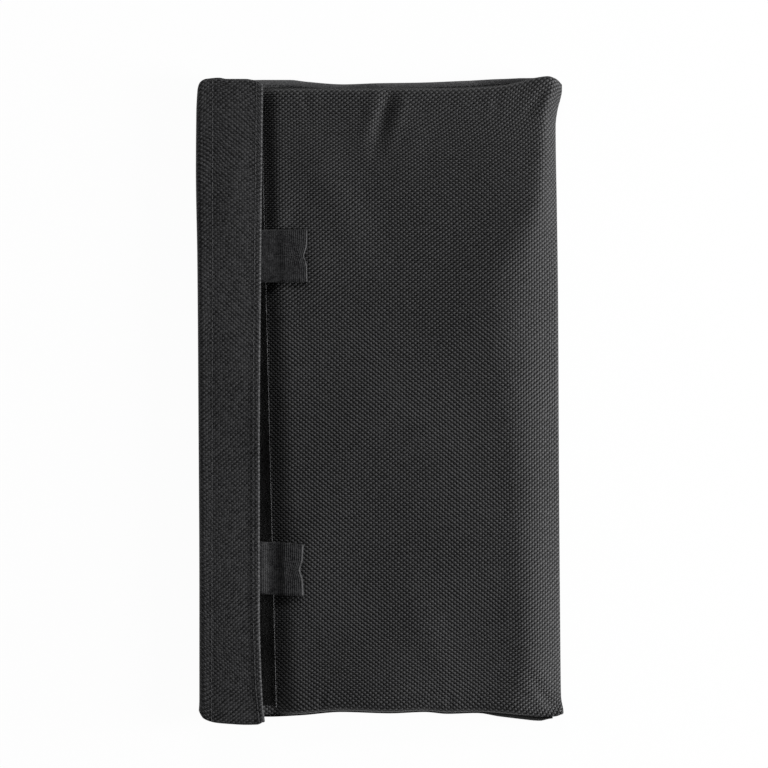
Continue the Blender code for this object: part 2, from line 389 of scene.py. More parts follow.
@dataclass(frozen=True)
class WovenCloth(Textile):
    """Cloth drawn thread by thread on its flat places, so that the weave follows every fold.

    The tone from shade to crown is partly painted highlight on the thread crowns and painted shade between the
    threads, beside the bump. The pull says which diagonal leads: on the cloth at large, past fold_span across
    it and past far_span along it.
    """

    warp_pitch: float
    weft_pitch: float
    # colours of the gaps, the body and the crowns of the threads: pale crowns partly painted highlight, dark
    # gaps partly painted shade
    shade: str
    middle: str
    crown: str
    waves: tuple[Wave, ...] = PLAIN_WEAVE
    relief: float = field(default=0.16, kw_only=True)
    roughness: float = field(default=0.5, kw_only=True)
    gloss: float = field(default=0.17, kw_only=True)
    mark: float = 1.0
    wander: float = 0.3
    wander_span: float = 16.0
    lean: float = 0.5
    lean_span: float = 35.0
    pull: Place = (0.0, 0.0, 0.0)
    fold_span: Span = (142.0, 156.0)
    far_span: Span = (190.0, 214.0)
    scatter: float = 0.25
    slub_stretch: float = 0.06
    slub_share: float = 0.5
    fuzz: float = 0.0
    fuzz_span: float = 0.45
    # slow patches of painted light and shade for broad soft folds: their strength, size and seed
    cloud: float = 0.5
    cloud_span: float = 55.0
    fold_shade_seed: float = 753.69

    def material(self) -> Material:
        """Build the cloth's material on the piece's flat places."""
        made, tree = self.start()
        flat = add_node(tree, "ShaderNodeUVMap", uv_map="cut")
        count = self.thread_count(tree, flat)
        tone, height = self.weave(tree, count, self.leading(tree, flat))
        tone = self.uneven(tree, flat, count, tone)
        self.finish(tree, tone, height, ((0.0, self.shade), (0.5, self.middle), (1.0, self.crown)))
        return made

    def thread_count(self, tree: Tree, flat: Node) -> Node:
        """Count threads across the cloth, which wander a little as the loom and the coating leave them."""
        drift = add_node(tree, "ShaderNodeTexNoise", {"Vector": flat, "Scale": 1.0 / (self.wander_span * MM)})
        centred = work_out_place(tree, "SUBTRACT", drift.outputs["Color"], (0.5, 0.5, 0.5))
        feeds = {0: centred, "Scale": NOISE_SPAN * self.wander * MM}
        shift = add_node(tree, "ShaderNodeVectorMath", feeds, operation="SCALE")
        moved = work_out_place(tree, "ADD", flat, shift)
        threads = (1.0 / (self.warp_pitch * MM), 1.0 / (self.weft_pitch * MM), 0.0)
        return work_out_place(tree, "MULTIPLY", moved, threads)

    def leading(self, tree: Tree, flat: Node) -> Node:
        """How far the falling diagonal leads the rising one: by place on the cloth, and in slow patches."""
        axes = add_node(tree, "ShaderNodeSeparateXYZ", {0: flat}).outputs
        pull, *ends = self.pull
        for axis, (low, high), end in zip("XY", (self.fold_span, self.far_span), ends):
            feeds = {0: axes[axis], 1: low * MM, 2: high * MM, 3: pull, 4: end}
            pull = add_node(tree, "ShaderNodeMapRange", feeds)
        feeds = {"Vector": flat, "Scale": 1.0 / (self.lean_span * MM), "Detail": 0.0}
        slow = add_node(tree, "ShaderNodeTexNoise", feeds)
        low, high = NOISE_ENDS
        feeds = {0: slow, 1: low, 2: high, 3: -self.lean, 4: self.lean}
        swing = add_node(tree, "ShaderNodeMapRange", feeds)
        return work_out(tree, "ADD", swing, pull)

    def weave(self, tree: Tree, count: Node, lead: Node) -> tuple[Node, Node]:
        """Add up the weave's waves.

        Args:
            tree: Shader tree.
            count: Flat places counted in threads.
            lead: How far one diagonal leads the other.

        Returns:
            Tone and height, both about 0.5.
        """
        axes = add_node(tree, "ShaderNodeSeparateXYZ", {0: count}).outputs
        tone = height = add_node(tree, "ShaderNodeValue")
        tone.outputs[0].default_value = 0.5
        for wave in self.waves:
            weft = work_out(tree, "MULTIPLY", axes["Y"], wave.turns_weft * math.pi)
            angle = work_out(tree, "MULTIPLY_ADD", axes["X"], wave.turns_warp * math.pi, weft)
            swing = work_out(tree, "COSINE", angle)
            even = self.mark * wave.light
            light = work_out(tree, "MULTIPLY_ADD", lead, even * wave.lean, even)
            tone = work_out(tree, "MULTIPLY_ADD", swing, light, tone)
            height = work_out(tree, "MULTIPLY_ADD", swing, wave.height, height)
        return tone, height

    def uneven(self, tree: Tree, flat: Node, count: Node, tone: Node) -> Node:
        """Vary the tone float by float, along whole threads and with loose fibre, and in slow patches
        of painted light and shade that stand in for broad soft folds.

        Args:
            tree: Shader tree.
            flat: Flat places, in metres.
            count: The same places counted in threads.
            tone: Tone of the even weave.

        Returns:
            Tone of the uneven one.
        """
        floats = work_out_place(tree, "FLOOR", count)
        speck = add_node(tree, "ShaderNodeTexWhiteNoise", {"Vector": floats}, noise_dimensions="2D")
        feeds = {"Vector": count, "Scale": (self.slub_stretch, 1.0, 1.0)}
        stretch = add_node(tree, "ShaderNodeMapping", feeds)
        slub = add_node(tree, "ShaderNodeTexNoise", {"Vector": stretch, "Scale": 1.0})
        fibre = add_node(tree, "ShaderNodeTexNoise", {"Vector": flat, "Scale": 1.0 / (self.fuzz_span * MM)})
        # painted light and shade: slow patches standing in for broad soft folds
        feeds = {"Vector": flat, "W": self.fold_shade_seed, "Scale": 1.0 / (self.cloud_span * MM), "Detail": 1.0}
        patch = add_node(tree, "ShaderNodeTexNoise", feeds, noise_dimensions="4D")
        amounts = (self.scatter, self.slub_share * self.scatter, self.fuzz, self.cloud)
        for noise, amount in zip((speck, slub, fibre, patch), amounts):
            centred = work_out(tree, "SUBTRACT", noise, 0.5)
            tone = work_out(tree, "MULTIPLY_ADD", centred, amount, tone)
        return tone


@dataclass(frozen=True)
class FineTextile(Textile):
    """Tape, pile or thread whose weave is finer than a millimetre: a soft two-tone grain."""

    deep: str
    pale: str
    grain: float
    streak: float = 1.0
    cloud: float = 0.5
    cloud_span: float = 18.0

    def material(self) -> Material:
        """Build the material on Object coordinates, so that it needs no flat places."""
        made, tree = self.start()
        place = add_node(tree, "ShaderNodeTexCoord").outputs["Object"]
        fibre = 1.0 / (self.grain * MM)
        feeds = {"Vector": place, "Scale": (fibre, fibre / self.streak, fibre)}
        stretch = add_node(tree, "ShaderNodeMapping", feeds)
        fine = add_node(tree, "ShaderNodeTexNoise", {"Vector": stretch, "Scale": 1.0, "Detail": 3.0})
        feeds = {"Vector": place, "Scale": 1.0 / (self.cloud_span * MM), "Detail": 1.0}
        cloudy = add_node(tree, "ShaderNodeTexNoise", feeds)
        patch = work_out(tree, "MULTIPLY_ADD", cloudy, self.cloud, -0.5 * self.cloud)
        tone = work_out(tree, "ADD", fine, patch, clamp=True)
        self.finish(tree, tone, fine, tuple(zip(NOISE_ENDS, (self.deep, self.pale))))
        return made


# polyester canvas of the pouch: open plain weave with a thin coating, strongly marked in partly painted
# # highlight on the thread crowns and painted shade between the threads
POUCH_CANVAS = WovenCloth(
    "coated_polyester_canvas", 1.365, 1.07, "#010101", "#222223", "#444445",
    relief=0.3, mark=1.65, lean=0.2, pull=(0.36, -0.42, -0.18),
)
# the same canvas on the flap, pressed flatter by its hem and rows of stitching
FLAP_CANVAS = WovenCloth(
    "pressed_polyester_canvas", 1.22, 1.07, "#080809", "#282829", "#414142",
    relief=0.14, mark=0.9, wander=0.6, scatter=0.4, fuzz=1.1,
)
# silicone-coated glass cloth of the pocket: pale, dense and slightly glossy
GLASS_CLOTH = WovenCloth(
    "coated_glass_cloth", 0.9, 0.9, "#8d8b84", "#a8a69e", "#bebcb4", relief=0.05, roughness=0.42
)
# thin nylon lining under the flap: an even, dark plain weave
FACING_NYLON = WovenCloth("nylon_lining", 0.7, 0.7, "#151516", "#1f1f20", "#29292a", relief=0.05)
# grosgrain ribbon: matt polyester with ribs across its length
GROSGRAIN = WovenCloth(
    "polyester_grosgrain", 0.98, 0.6, "#060607", "#161618", "#343435", RIBS,
    relief=0.05, mark=1.7, wander=0.12, scatter=0.8, fuzz=0.9,
)
# woven polyester bias tape: smooth to the eye, a little paler than the canvas
BIAS_TAPE = FineTextile("polyester_bias_tape", "#3a3a3b", "#5e5e5f", 0.5, streak=2.0)
# bias tape of the lower seam: the upper seam's tape, its colour darkened nearly to black as painted shade
# # where it hangs under the seam, and less glossy
SHADED_BIAS_TAPE = FineTextile("painted_shade_bias_tape", "#0a0a0a", "#1a1a1a", 0.5, streak=2.0, gloss=0.05)
# brushed nylon loops: light sinks in, so it is the darkest part
LOOP_NYLON = FineTextile("brushed_nylon_loops", "#090909", "#363636", 0.4, roughness=0.95, gloss=0.02)
# ground tape under the loops, hardly paler than they are
LOOP_GROUND = FineTextile("loop_ground_tape", "#090909", "#121212", 0.5, streak=3.0, gloss=0.02)
# selvage of the loop tape: a pale line where the tape is sewn down
SELVAGE = FineTextile("pale_tape_selvage", "#4a4a4b", "#767677", 0.25, roughness=0.6)
# nylon ground tape under the hooks: a dull dark weave
GROUND_TAPE = FineTextile("nylon_ground_tape", "#1c1c1c", "#303030", 0.5, streak=3.0)
# extruded nylon hooks: smooth single filaments that glint
HOOK_NYLON = FineTextile("nylon_monofilament", "#121214", "#1e1e20", 0.6, relief=0.0, roughness=0.35)
# bonded polyester sewing thread: tight twist with a faint shine
THREAD = FineTextile("bonded_polyester_thread", "#2a2a2b", "#4a4a4b", 0.25, roughness=0.5)

# inputs of every tree that stands bent filaments on a base, with the kind of each socket
FILAMENT_INPUTS = {
    "Base": "Geometry", "Start": "Vector", "Crest": "Vector", "End": "Vector",
    "Radius": "Float", "Up": "Vector", "Filament": "Material",
}


@dataclass(frozen=True)
class Filament:
    """A bent filament: three points of its bend, with Z up from its base, and its radius."""

    start: Place
    crest: Place
    end: Place
    radius: float

    def sizes(self, facing: Facing, material: Material) -> dict:
        """Values of the inputs that every tree of filaments has, apart from its base."""
        bend = {"Start": self.start, "Crest": self.crest, "End": self.end}
        metres = {name: tuple(value * MM for value in point) for name, point in bend.items()}
        return {**metres, "Radius": self.radius * MM, "Up": facing.value, "Filament": material}


def start_tree(name: str, own: dict[str, str]) -> tuple[Tree, bpy.types.bpy_prop_collection]:
    """Start a geometry tree of bent filaments.

    Args:
        name: Name of the tree.
        own: Inputs of its own beside those of every filament, with the kind of each socket.

    Returns:
        The tree, and its inputs by name.
    """
    tree = bpy.data.node_groups.new(name, "GeometryNodeTree")
    for socket, kind in {**FILAMENT_INPUTS, **own}.items():
        tree.interface.new_socket(socket, in_out="INPUT", socket_type="NodeSocket" + kind)
    tree.interface.new_socket("Grown", in_out="OUTPUT", socket_type="NodeSocketGeometry")
    return tree, add_node(tree, "NodeGroupInput").outputs


def plant(
    tree: Tree,
    sizes: bpy.types.bpy_prop_collection,
    points: Node | Socket,
    upright: Node,
    angle: Socket,
    bends: int,
    sides: int,
    caps: bool = False,
    scale: Place | Socket = (1.0, 1.0, 1.0),
) -> None:
    """Stand a bent filament on each point, and end the tree.

    Args:
        tree: Geometry tree.
        sizes: Inputs of the tree, by name.
        points: Points to stand on.
        upright: Rotation that stands a filament up.
        angle: Turn about its own upright.
        bends: Points along a filament.
        sides: Sides of its section.
        caps: Whether its two ends are closed.
        scale: Size of each filament.
    """
    feeds = {"Resolution": bends, "Start": sizes["Start"], "Middle": sizes["Crest"], "End": sizes["End"]}
    bend = add_node(tree, "GeometryNodeCurveQuadraticBezier", feeds)
    feeds = {"Resolution": sides, "Radius": sizes["Radius"]}
    ring = add_node(tree, "GeometryNodeCurvePrimitiveCircle", feeds)
    feeds = {"Curve": bend, "Profile Curve": ring, "Fill Caps": caps}
    filament = add_node(tree, "GeometryNodeCurveToMesh", feeds)
    yaw = add_node(tree, "FunctionNodeAxisAngleToRotation", {"Axis": (0.0, 0.0, 1.0), "Angle": angle})
    feeds = {"Rotation": upright, "Rotate By": yaw}
    turned = add_node(tree, "FunctionNodeRotateRotation", feeds, rotation_space="LOCAL")
    feeds = {"Points": points, "Instance": filament, "Rotation": turned, "Scale": scale}
    placed = add_node(tree, "GeometryNodeInstanceOnPoints", feeds)
    solid = add_node(tree, "GeometryNodeRealizeInstances", {0: placed})
    dressed = add_node(tree, "GeometryNodeSetMaterial", {"Geometry": solid, "Material": sizes["Filament"]})
    add_node(tree, "NodeGroupOutput", {0: dressed})


def stitch_tree() -> Tree:
    """Geometry tree that lays arched stitches along loose edges, with the pitch and slant as own inputs."""
    tree, sizes = start_tree("stitch_row", {"Pitch": "Float", "Slant": "Float"})
    row = add_node(tree, "GeometryNodeMeshToCurve", {0: sizes["Base"]})
    feeds = {"Curve": row, "Length": sizes["Pitch"]}
    steps = add_node(tree, "GeometryNodeResampleCurve", feeds, mode="LENGTH")
    tangent = add_node(tree, "GeometryNodeInputTangent")
    along = add_node(tree, "FunctionNodeAlignRotationToVector", {"Vector": tangent}, axis="X")
    feeds = {"Rotation": along, "Vector": sizes["Up"]}
    upright = add_node(tree, "FunctionNodeAlignRotationToVector", feeds, axis="Z", pivot_axis="X")
    least = work_out(tree, "MULTIPLY", sizes["Slant"], -1.0)
    slant = add_node(tree, "FunctionNodeRandomValue", {2: least, 3: sizes["Slant"], "Seed": STITCH_SEED})
    plant(tree, sizes, steps, upright, slant.outputs[1], bends=5, sides=6, caps=True)
    return tree


def tuft_tree() -> Tree:
    """Geometry tree that stands loops or hooks on points; own inputs are their turn, least size and seed."""
    tree, sizes = start_tree("tufts", {"Turn": "Float", "Least Size": "Float", "Seed": "Int"})
    upright = add_node(tree, "FunctionNodeAlignRotationToVector", {"Vector": sizes["Up"]}, axis="Z")
    angle = add_node(tree, "FunctionNodeRandomValue", {2: 0.0, 3: sizes["Turn"], "Seed": sizes["Seed"]})
    size = add_node(tree, "FunctionNodeRandomValue", {2: sizes["Least Size"], 3: 1.0, "Seed": sizes["Seed"]})
    plant(tree, sizes, sizes["Base"], upright, angle.outputs[1], bends=4, sides=3, scale=size.outputs[1])
    return tree


def grown_piece(name: str, host: Piece, tree: Tree, sizes: dict) -> Piece:
    """Run a geometry tree on a host mesh and keep the result as a plain mesh.

    Args:
        name: Name of the new piece.
        host: Mesh with the points or edges that the tree works on; it is removed.
        tree: Geometry tree.
        sizes: Value of each of the tree's inputs, by the input's name.

    Returns:
        The new piece.
    """
    modifier = host.modifiers.new(tree.name, "NODES")
    modifier.node_group = tree
    for item in tree.interface.items_tree:
        if item.in_out == "INPUT" and item.name in sizes:
            modifier[item.identifier] = sizes[item.name]
    graph = bpy.context.evaluated_depsgraph_get()
    mesh = bpy.data.meshes.new_from_object(host.evaluated_get(graph))
    mesh.polygons.foreach_set("use_smooth", [True] * len(mesh.polygons))
    bpy.data.objects.remove(host)
    piece = bpy.data.objects.new(name, mesh)
    bpy.context.scene.collection.objects.link(piece)
    LOG.info("%s: %d faces", name, len(mesh.polygons))
    return piece


@dataclass
class Sewing:
    """Lockstitch rows: how long a stitch is, how thick its thread is and how far it stands proud."""

    pitch: float = 3.1
    stitch: float = 2.3
    radius: float = 0.16
    rise: float = 0.12
    slant: float = 0.06
    tree: Tree = field(default_factory=stitch_tree)
    thread: Material = field(default_factory=THREAD.material)

    def sew(self, name: str, rows: list[np.ndarray], body: Body, facing: Facing = Facing.UP) -> None:
        """Sew rows of stitches and let them ride on a body.

        Args:
            name: Name of the piece.
            rows: Lines of points on the cloth, in millimetres.
            body: Body that carries the cloth.
            facing: Side of the cloth that the stitches show on.
        """
        edges, first = [], 0
        for row in rows:
            edges += [(i, i + 1) for i in range(first, first + len(row) - 1)]
            first += len(row)
        host = mesh_piece(name + "_rows", np.concatenate(rows), [], edges)
        half, sunk = self.stitch / 2.0, -0.5 * self.radius
        arch = Filament((-half, 0.0, sunk), (0.0, 0.0, 2.0 * self.rise), (half, 0.0, sunk), self.radius)
        own = {"Pitch": self.pitch * MM, "Slant": self.slant}
        piece = grown_piece(name, host, self.tree, {**arch.sizes(facing, self.thread), **own})
        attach(piece, body.value)


@dataclass(frozen=True)
class Pucker:
    """One pull in the cloth: a short valley with a low ridge on each side."""

    x: float
    y: float
    angle: float
    length: float
    width: float
    depth: float

    def lift(self, x: np.ndarray, y: np.ndarray) -> np.ndarray:
        """Height that the pucker adds at the given places."""
        turn = math.radians(self.angle)
        along = (x - self.x) * math.cos(turn) + (y - self.y) * math.sin(turn)
        aside = (y - self.y) * math.cos(turn) - (x - self.x) * math.sin(turn)
        return -self.depth * self.section(aside / self.width) * bell(along / self.length)

    def section(self, aside: np.ndarray) -> np.ndarray:
        """Depth across the pucker, at places counted in its width."""
        return (1.0 - aside**2) * bell(aside)


class Crest(Pucker):
    """A long easy slope, as wide as the pucker's width, on the left of a soft line."""

    def section(self, aside: np.ndarray) -> np.ndarray:
        """Depth across the slope: none at its left end, full from the line on."""
        return smooth_step(1.0, 0.0, aside)


@dataclass(frozen=True)
class Ripple:
    """A slow ripple of the cloth: its height, its length over a radian along X and Y, and where it starts."""

    height: float
    length_x: float
    length_y: float
    start: float

    def lift(self, x: np.ndarray, y: np.ndarray) -> np.ndarray:
        """Height that the ripple adds at the given places."""
        return self.height * np.sin(x / self.length_x + y / self.length_y + self.start)


@dataclass
class PouchCloth:
    """Outer cloth of the pouch: mouth hem, front, fold, back and the lower half of the turned-up spine.

    Lines of knots that start near -154 run along the mouth, and those that start at -84 run across the pouch.
    """

    thickness: float = 1.0
    level: float = 9.3
    floor: float = 0.5
    seam_level: float = 4.2
    mouth_setback: float = 3.7
    spine_inset: float = 2.5
    roll_start: float = 141.0
    side_rows: int = 20
    middle_rows: int = 120
    front_steps: int = 78
    slope_steps: int = 30
    turn_steps: int = 14
    back_steps: int = 70
    crease_steps: int = 9
    wall_steps: int = 3
    hem_steps: int = 6
    hem_turn_steps: int = 8
    hem: float = 8.0
    hem_radius: float = 0.55
    hem_room: float = 0.45
    crease_radius: float = 5.0
    back_flat: Span = (-66.0, -81.0)
    seam_band: Span = (151.0, 154.0)
    shift_span: Span = (100.0, 150.0)
    # swell of the filled front, mostly just past the loop tape, where the tape's edge draws a valley
    crown: float = 2.6
    crown_near: float = 0.75
    crown_span: Span = (-48.0, 25.0)
    bank: float = 8.0
    bank_growth: float = 3.0
    bank_span: Span = (110.0, 10.0)
    valley: float = 1.9
    valley_width: float = 0.3
    valley_place: float = 1.0
    valley_drift: float = 2.2
    valley_span: Span = (20.0, 110.0)
    calm_span: Span = (-50.0, -20.0)
    tape_edge: float = -54.5
    tape_skew: float = -0.0249
    # how far the bottom fold reaches into the front, how fast it steepens and how tight it turns
    fold_reach: Knots = (
        (-154, 26), (-146, 24), (-125, 19), (-75, 21), (-20, 24), (10, 29), (50, 31), (70, 27), (88, 19),
        (108, 13.5), (154, 7),
    )
    fold_power: Knots = ((-154, 1.8), (60, 1.8), (108, 3.2), (154, 3.2))
    fold_radius: float = 2.0
    fold_room: float = 0.4
    # sections (y, z) of front and back where they roll together at the side seams
    upper_front: Knots = (
        (141, 9.3), (148.6, 9.25), (150.6, 8.7), (151.4, 7.3), (151.7, 5.4), (152.3, 4.2), (154, 3.75)
    )
    upper_back: Knots = ((141, 0.5), (145.5, 0.7), (149, 1.7), (151.8, 2.55), (154, 2.6))
    lower_front: Knots = (
        (-141, 9.3), (-148, 9.2), (-150.9, 8.3), (-152.1, 6.3), (-152.3, 4.2), (-151.9, 1.9)
    )
    lower_back: Knots = ((-141, 0.5), (-146, 1), (-149.6, 2.8), (-151, 4.2), (-151.3, 3.4), (-151, 1.9))
    # outline as measured: bottom fold, side seams and the crease behind the mouth
    fold_line: Knots = (
        (-152.3, 90), (-149.5, 89.5), (-144, 88.9), (-122, 88.6), (-44, 87.95), (53, 87.4), (93, 86.85),
        (131, 86.25), (138, 87.2), (144, 88.5), (150, 89.3), (152, 89.2), (154, 87.2),
    )
    shoulder_line: Knots = (
        (-84, 0), (30, 0.3), (50, 0.9), (60, 1.8), (68, 3.4), (76, 5.7), (82, 6.5), (86, 5.3), (89, 3)
    )
    seam_line: Knots = (
        (-84, 0.3), (-55, 1.1), (-44, 1.1), (-36, 0.2), (-18, -1.1), (0, -0.5), (20, -0.2), (44, 0.7),
        (59, 1.2), (68, 1), (76, 0), (89, -2),
    )
    lower_line: Knots = (
        (-84, -2.1), (-55, -2.1), (-39, -1.4), (-19, 0.2), (5, -0.45), (22, 0.2), (33, -0.7), (47, -0.3),
        (58, -0.9), (70, -2.1), (80, -3.1), (86, -2.8), (89, -1.8),
    )
    spine_line: Knots = (
        (-154, -88.6), (-146, -88.2), (-98, -88.2), (0, -88.7), (68, -89.2), (112, -89.9), (140, -89.7),
        (150, -89.2), (154, -88.6),
    )
    puckers: tuple[Pucker, ...] = (
        Pucker(2.4, 138.0, 74.0, 9.5, 3.8, 2.0),
        Pucker(-24.0, 103.0, 114.0, 26.0, 9.0, -0.5),
        Pucker(15.0, 123.0, 70.0, 10.0, 6.0, -0.3),
        Pucker(-43.0, 70.0, 90.0, 12.0, 7.0, 0.9),
        Pucker(-46.0, -82.0, 90.0, 12.0, 7.0, 0.9),
        Crest(60.0, 55.0, 64.0, 38.0, 38.0, -1.6),
        Crest(60.0, -128.0, 90.0, 26.0, 55.0, 1.5),
        Pucker(24.0, -117.0, 115.0, 18.0, 8.0, -0.25),
        Pucker(-28.5, -147.0, 88.0, 4.0, 1.3, 0.5),
        Pucker(34.0, -148.0, 95.0, 4.0, 1.3, 0.4),
        Pucker(57.0, 144.0, 80.0, 4.5, 1.8, 0.4),
        Pucker(-36.0, 145.0, 100.0, 5.0, 2.0, 0.35),
        Pucker(80.0, -142.0, 130.0, 8.0, 2.4, 0.5),
        Pucker(79.0, 143.0, 45.0, 8.0, 2.4, 0.5),
    )
    ripples: tuple[Ripple, ...] = (Ripple(0.16, 17.0, 31.0, 0.6), Ripple(0.12, 11.0, -23.0, 2.1))

    def __post_init__(self) -> None:
        """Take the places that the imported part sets, and shape the sheet."""
        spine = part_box("flap_spine")
        self.spine_half = spine[1][1] / MM - self.spine_inset
        self.spine_middle = (spine[0][2] + spine[1][2]) / 2.0 / MM
        self.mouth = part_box("pouch_cloth")[0][0] / MM + self.mouth_setback
        self.surface = self.shape()

    def side_ends(self) -> list[np.ndarray]:
        """Columns of y and z of the front, then of the back, from the lower side seam to the upper."""
        middle = np.linspace(-self.roll_start, self.roll_start, self.middle_rows)[1:-1]
        ends = []
        for lower, upper, height in (
            (self.lower_front, self.upper_front, self.level),
            (self.lower_back, self.upper_back, self.floor),
        ):
            level = np.stack([middle, np.full_like(middle, height)], axis=1)
            rolls = [along_path(knots, self.side_rows) for knots in (lower, upper)]
            ends += np.split(np.concatenate([rolls[0][::-1], level, rolls[1]]), 2, axis=1)
        return ends

    def front_rise(self, x: np.ndarray, y: np.ndarray) -> np.ndarray:
        """How far the filled front stands above its level at the mouth."""
        beside = x - self.tape_edge - self.tape_skew * y
        bank = self.bank + self.bank_growth * smooth_step(*self.bank_span, y)
        near, far = smooth_step(0.0, 1.0, beside / bank), smooth_step(*self.crown_span, x)
        rise = self.crown * (self.crown_near * near + (1.0 - self.crown_near) * far)
        sunk = beside + self.valley_place - self.valley_drift * smooth_step(*self.valley_span, y)
        rise = rise - self.valley * bell(sunk / (self.valley_width * bank))
        rise = rise + smooth_step(*self.calm_span, x) * sum(ripple.lift(x, y) for ripple in self.ripples)
        for pucker in self.puckers:
            rise = rise + pucker.lift(x, y)
        return rise

    def seam_shift(self, x: np.ndarray, y: np.ndarray) -> np.ndarray:
        """How far the side seams wander along Y at the given places."""
        seam = smooth_step(*self.seam_band, y)
        upper = smooth_line(self.shoulder_line, x) * (1.0 - seam) + smooth_line(self.seam_line, x) * seam
        lower = smooth_line(self.lower_line, x)
        return upper * smooth_step(*self.shift_span, y) + lower * smooth_step(*self.shift_span, -y)

    def shape(self) -> np.ndarray:
        """Lay the cloth's middle surface, row by row.

        Returns:
            Grid of points: rows run along Y, columns from the hem round the fold to the spine.
        """
        self.front_y, self.front_z, self.back_y, self.back_z = self.side_ends()
        reach = run_length(np.concatenate([self.front_y, self.front_z], axis=1))
        self.row_share = (2.0 * reach / reach[-1] - 1.0)[:, None]
        self.spine_y = self.row_share * self.spine_half
        self.left = smooth_line(self.spine_line, self.spine_y) + self.thickness / 2.0
        self.fold = smooth_line(self.fold_line, self.front_y) - self.thickness / 2.0
        # share of the front's rise in each row: 1 in the middle, 0 at the side seams
        self.filled = np.clip((self.front_z - self.seam_level) / (self.level - self.seam_level), 0.0, 1.0)
        panel = self.front_panel()
        hem = self.mouth_hem(panel)
        self.hem_columns = hem.shape[1]
        turned = self.bottom_fold()
        return np.concatenate([hem, panel, turned, self.back_panel(), self.spine_turn()], axis=1)

    def front_panel(self) -> np.ndarray:
        """Points of the front, from the mouth to where it starts to turn down."""
        start = self.mouth + self.hem_radius
        end = self.fold - self.fold_radius - smooth_line(self.fold_reach, self.front_y)
        x = start + (end - start) * np.linspace(0.0, 1.0, self.front_steps)[None, :]
        z = self.front_z + self.filled * self.front_rise(x, self.front_y)
        return grid_of(x, self.front_y + self.seam_shift(x, self.front_y), z)

    def bottom_fold(self) -> np.ndarray:
        """Points of the bottom fold: a long easy slope down from the front, and a tight turn under it."""
        height = np.maximum(self.front_z + self.crown * self.filled - self.back_z, self.thickness / 4.0)
        radius = self.turn_radius = np.minimum(self.fold_radius, self.fold_room * height)
        reach = smooth_line(self.fold_reach, self.front_y)
        power = smooth_line(self.fold_power, self.front_y)
        tilt = np.arctan(power * (height - 2.0 * radius) / reach)
        drop = height - radius * (1.0 + np.cos(tilt))
        walked = np.linspace(0.0, 1.0, self.slope_steps)[None, 1:]
        turn = tilt + (math.pi - tilt) * np.linspace(0.0, 1.0, self.turn_steps)[None, 1:-1]
        foot = self.fold - radius * (1.0 - np.sin(tilt))
        slope_x = foot - reach * (1.0 - walked)
        turn_x = foot + radius * (np.sin(turn) - np.sin(tilt))
        turn_drop = drop + radius * (np.cos(tilt) - np.cos(turn))
        x = np.concatenate([slope_x, turn_x], axis=1)
        sunk = np.concatenate([drop * walked**power, turn_drop], axis=1) / height
        y = self.front_y * (1.0 - sunk) + self.back_y * sunk
        high = self.front_z + self.filled * self.front_rise(x, y)
        z = high * (1.0 - sunk) + self.back_z * sunk
        return grid_of(x, y + self.seam_shift(x, y), z)

    def back_panel(self) -> np.ndarray:
        """Points of the back, from the fold to the crease under the mouth."""
        start = self.fold - self.turn_radius
        end = self.left + self.crease_radius
        x = start + (end - start) * np.linspace(0.0, 1.0, self.back_steps)[None, :]
        flat = smooth_step(*self.back_flat, x)
        y = self.back_y + self.seam_shift(x, self.back_y)
        y = y * (1.0 - flat) + self.spine_y * flat
        return grid_of(x, y, self.back_z * (1.0 - flat) + self.floor * flat)

    def spine_turn(self) -> np.ndarray:
        """Points of the crease under the mouth and of the lower half of the spine."""
        turn = np.linspace(-math.pi / 2.0, -math.pi, self.crease_steps)[1:]
        rise = np.linspace(self.floor + self.crease_radius, self.spine_middle, self.wall_steps)[1:]
        x = np.concatenate([self.crease_radius * (1.0 + np.cos(turn)), np.zeros_like(rise)])
        z = np.concatenate([self.floor + self.crease_radius * (1.0 + np.sin(turn)), rise])
        return grid_of(x + self.left, self.spine_y, z)

    def mouth_hem(self, panel: np.ndarray) -> np.ndarray:
        """Points of the hem that is turned in along the mouth of the given front."""
        under = np.minimum(2.0 * self.hem_radius, self.hem_room * (self.front_z - self.back_z))
        turn = np.linspace(0.0, math.pi, self.hem_turn_steps)[:-1]
        edge = self.mouth + self.hem_radius
        inner = np.linspace(edge + self.hem, edge, self.hem_steps)[:-1]
        x = np.concatenate([inner, self.mouth + self.hem_radius * (1.0 - np.sin(turn))])
        drop = np.concatenate([np.ones_like(inner), (1.0 + np.cos(turn)) / 2.0])
        return grid_of(x, panel[:, :1, 1], panel[:, :1, 2] - under * drop)

    def front(self) -> np.ndarray:
        """Middle surface of the front panel alone."""
        return self.surface[:, self.hem_columns : self.hem_columns + self.front_steps]

    def lay_strip(self, x: np.ndarray, rows: slice, clear: float) -> np.ndarray:
        """Lay a strip on the front panel.

        Args:
            x: Places across the panel, one row for each of the panel's rows.
            rows: Rows that the strip covers.
            clear: Distance of the strip's middle surface from the panel's.

        Returns:
            Grid of points of the strip.
        """
        panel = self.front()
        lifted = panel + clear * sheet_normals(panel)
        strip = []
        for line, places in zip(lifted[rows], x[rows]):
            y, z = (np.interp(places, line[:, 0], line[:, axis]) for axis in (1, 2))
            strip.append(np.stack([places, y, z], axis=1))
        return np.array(strip)

    def dress(self) -> None:
        """Make the cloth."""
        cut = cut_lengths(self.surface)
        walked = np.stack([run_length(row) for row in self.surface])
        cut[:, :, 0] = walked - walked[:, [self.hem_columns]]
        sheet = Sheet("pouch_canvas", ("pouch_cloth", "flap_spine"), "woven_cloth", "folded", "pouch_liner")
        piece = sheet.make(self.surface, self.thickness, POUCH_CANVAS.material(), cut)
        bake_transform(piece)


